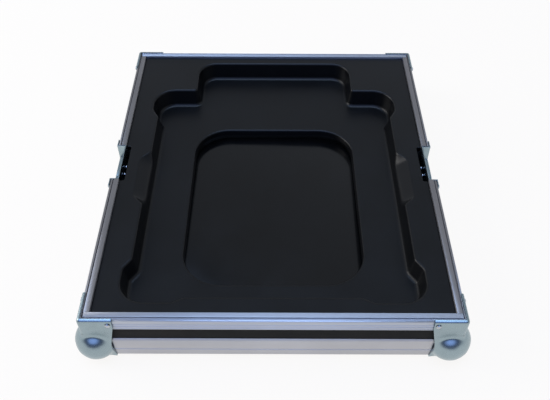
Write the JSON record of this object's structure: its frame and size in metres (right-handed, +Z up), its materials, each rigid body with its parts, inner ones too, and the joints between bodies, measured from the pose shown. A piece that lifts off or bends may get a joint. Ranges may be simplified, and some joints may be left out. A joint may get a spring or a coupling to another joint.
{
  "type": "dj player flight case",
  "caption": "Base half of a low aluminium-edged flight case with steel ball corners, recessed latch keepers and a formed insert pocket for a table-top player.",
  "frame": {"origin": "on the ground under the middle of the case, at the bottom of the four balls that it stands on", "axes": "+X to the right, +Y to the rear where the cable space is, +Z up out of the open pocket"},
  "size_m": [0.4536, 0.5206, 0.078],
  "materials": {
    "aluminium": "satin anodised extrusion",
    "zinc_steel": "zinc plated pressed sheet, slightly green-grey",
    "laminate": "black laminate on plywood, fine satin grain",
    "formed_plastic": "vacuum-formed black sheet with a soft sheen",
    "timber": "softwood stained black",
    "smooth_sheet": "smooth black sheet that mirrors the lip above it"
  },
  "bodies": {
    "root": {"ball_corner_front_left": "zinc_steel", "ball_corner_front_right": "zinc_steel", "ball_corner_rear_left": "zinc_steel", "ball_corner_rear_right": "zinc_steel", "bottom_panel": "laminate", "dish_lower_rivet_front_left": "zinc_steel", "dish_lower_rivet_front_right": "zinc_steel", "dish_lower_rivet_rear_left": "zinc_steel", "dish_lower_rivet_rear_right": "zinc_steel", "dish_upper_rivet_front_left": "zinc_steel", "dish_upper_rivet_front_right": "zinc_steel", "dish_upper_rivet_rear_left": "zinc_steel", "dish_upper_rivet_rear_right": "zinc_steel", "end_rivet_front_left": "zinc_steel", "end_rivet_front_right": "zinc_steel", "end_rivet_rear_left": "zinc_steel", "end_rivet_rear_right": "zinc_steel", "foot_rivet_front_left": "zinc_steel", "foot_rivet_front_right": "zinc_steel", "foot_rivet_rear_left": "zinc_steel", "foot_rivet_rear_right": "zinc_steel", "formed_insert": "formed_plastic", "front_batten": "timber", "front_edging": "aluminium", "front_panel": "laminate", "front_rim": "aluminium", "front_support": "laminate", "keeper_rivet_front_left": "zinc_steel", "keeper_rivet_front_right": "zinc_steel", "keeper_rivet_rear_left": "zinc_steel", "keeper_rivet_rear_right": "zinc_steel", "left_edging": "aluminium", "left_front_batten": "timber", "left_keeper": "zinc_steel", "left_latch_dish": "zinc_steel", "left_panel": "laminate", "left_rear_batten": "timber", "left_rim_front": "aluminium", "left_rim_rear": "aluminium", "left_support": "laminate", "packing_frame": "timber", "raised_floor": "smooth_sheet", "rear_batten": "timber", "rear_edging": "aluminium", "rear_panel": "laminate", "rear_rim": "aluminium", "rear_support": "laminate", "right_edging": "aluminium", "right_front_batten": "timber", "right_keeper": "zinc_steel", "right_latch_dish": "zinc_steel", "right_panel": "laminate", "right_rear_batten": "timber", "right_rim_front": "aluminium", "right_rim_rear": "aluminium", "right_support": "laminate", "side_rivet_front_left": "zinc_steel", "side_rivet_front_right": "zinc_steel", "side_rivet_rear_left": "zinc_steel", "side_rivet_rear_right": "zinc_steel"}
  },
  "joints": []
}
